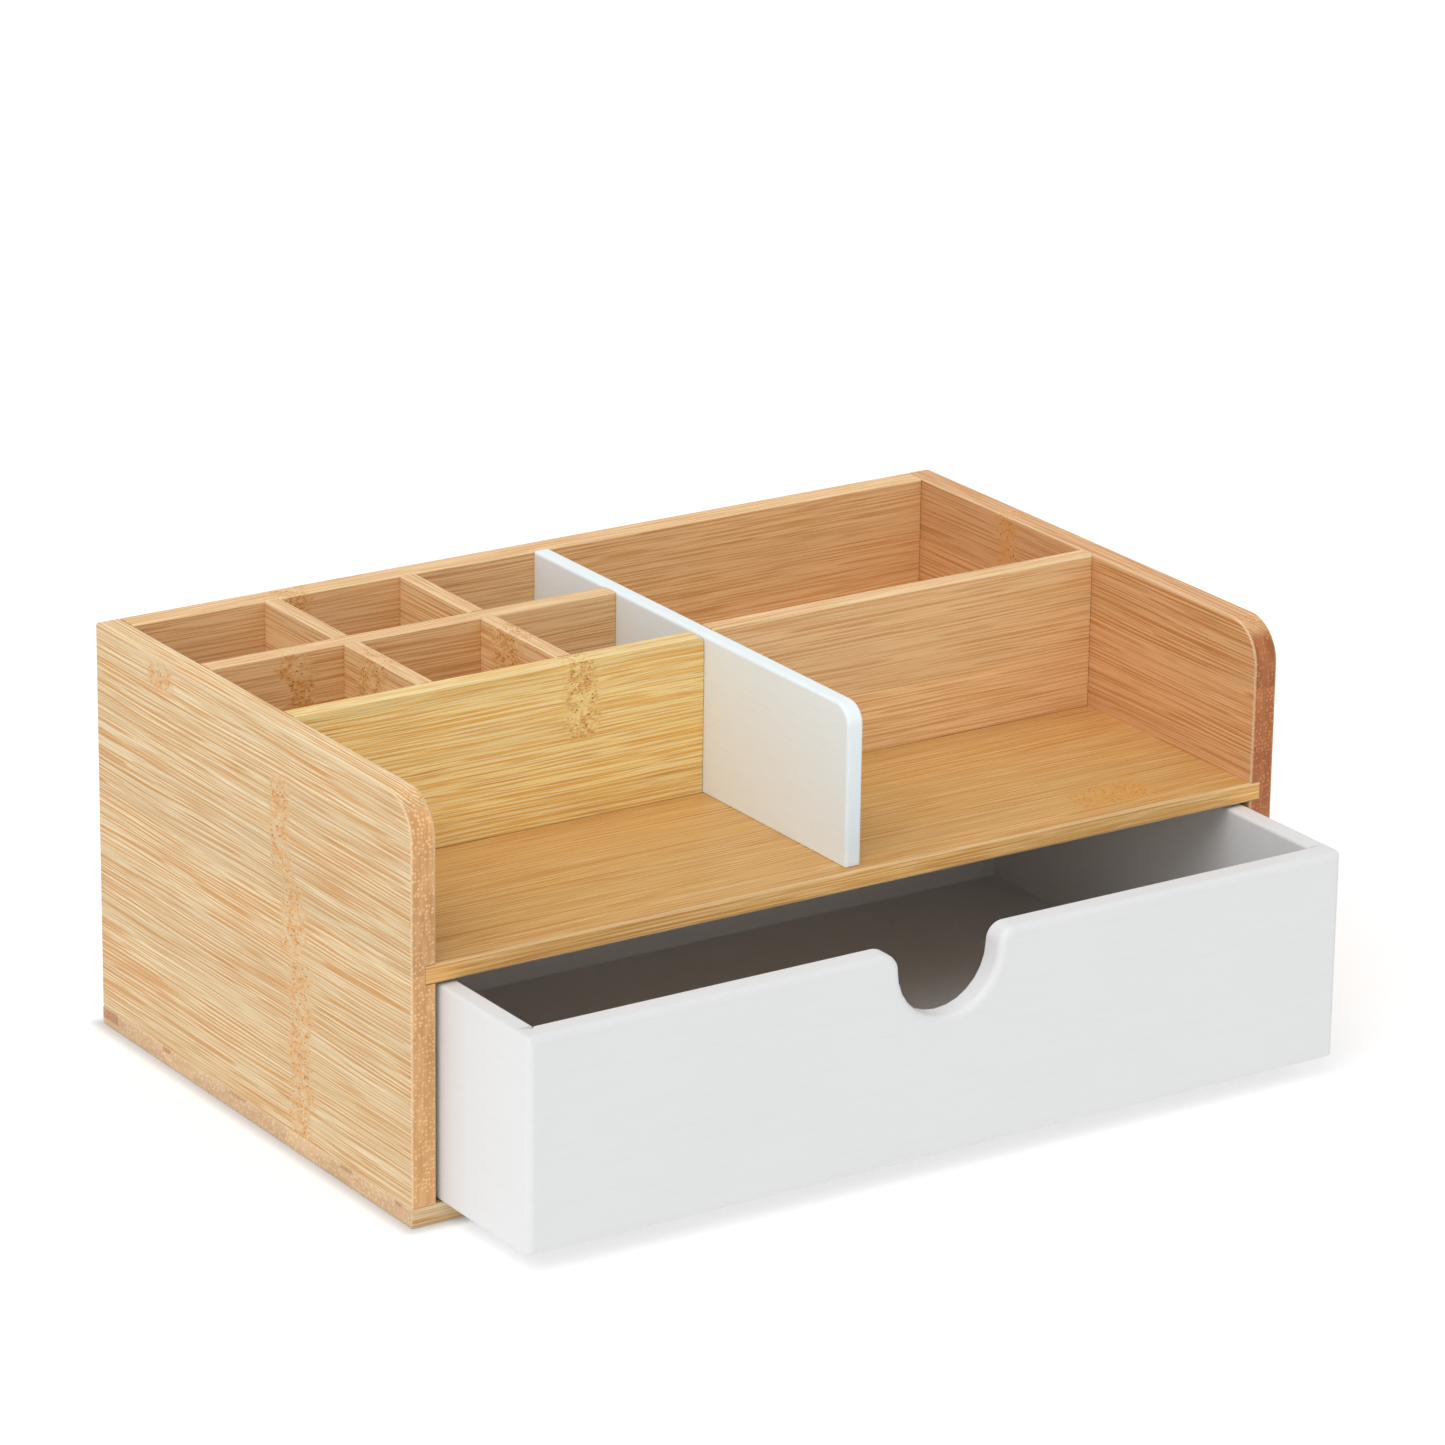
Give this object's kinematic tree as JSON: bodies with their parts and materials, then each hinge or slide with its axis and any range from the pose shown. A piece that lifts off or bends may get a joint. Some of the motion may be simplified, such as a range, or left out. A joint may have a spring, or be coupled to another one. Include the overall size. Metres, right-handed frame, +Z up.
{
  "type": "desk organizer",
  "caption": "Bamboo desk organizer with upright pen compartments, open trays either side of a white divider, and a white drawer with a finger notch below.",
  "frame": {"origin": "centre of the base panel's underside, on the surface that the organizer stands on", "axes": "+X to the right along the long side, -Y towards the user and the way the drawer pulls out, +Z up"},
  "size_m": [0.33, 0.251, 0.14],
  "materials": {
    "bamboo": "clear satin lacquer over laminated bamboo",
    "white_paint": "white satin paint over wood, faint grain showing",
    "dowel_wood": "raw beech dowel"
  },
  "bodies": {
    "case": {"base_panel": "bamboo", "left_side_panel": "bamboo", "right_side_panel": "bamboo", "back_panel": "bamboo", "shelf_panel": "bamboo", "centre_divider": "white_paint", "pen_front_wall": "bamboo", "pen_middle_wall": "bamboo", "right_wall": "bamboo", "rear_pen_divider_left": "bamboo", "rear_pen_divider_right": "bamboo", "front_pen_divider_left": "bamboo", "front_pen_divider_right": "bamboo", "base_dowels": "dowel_wood", "back_dowels": "dowel_wood"},
    "drawer": {"drawer_front": "white_paint", "drawer_left_side": "white_paint", "drawer_right_side": "white_paint", "drawer_back": "white_paint", "drawer_bottom": "white_paint", "drawer_front_dowels": "dowel_wood", "drawer_back_dowels": "dowel_wood"}
  },
  "joints": [
    {"name": "drawer_slide", "type": "slide", "parent": "case", "child": "drawer", "axis": [0, -1, 0], "range_m": [-0.051, 0.105]}
  ]
}
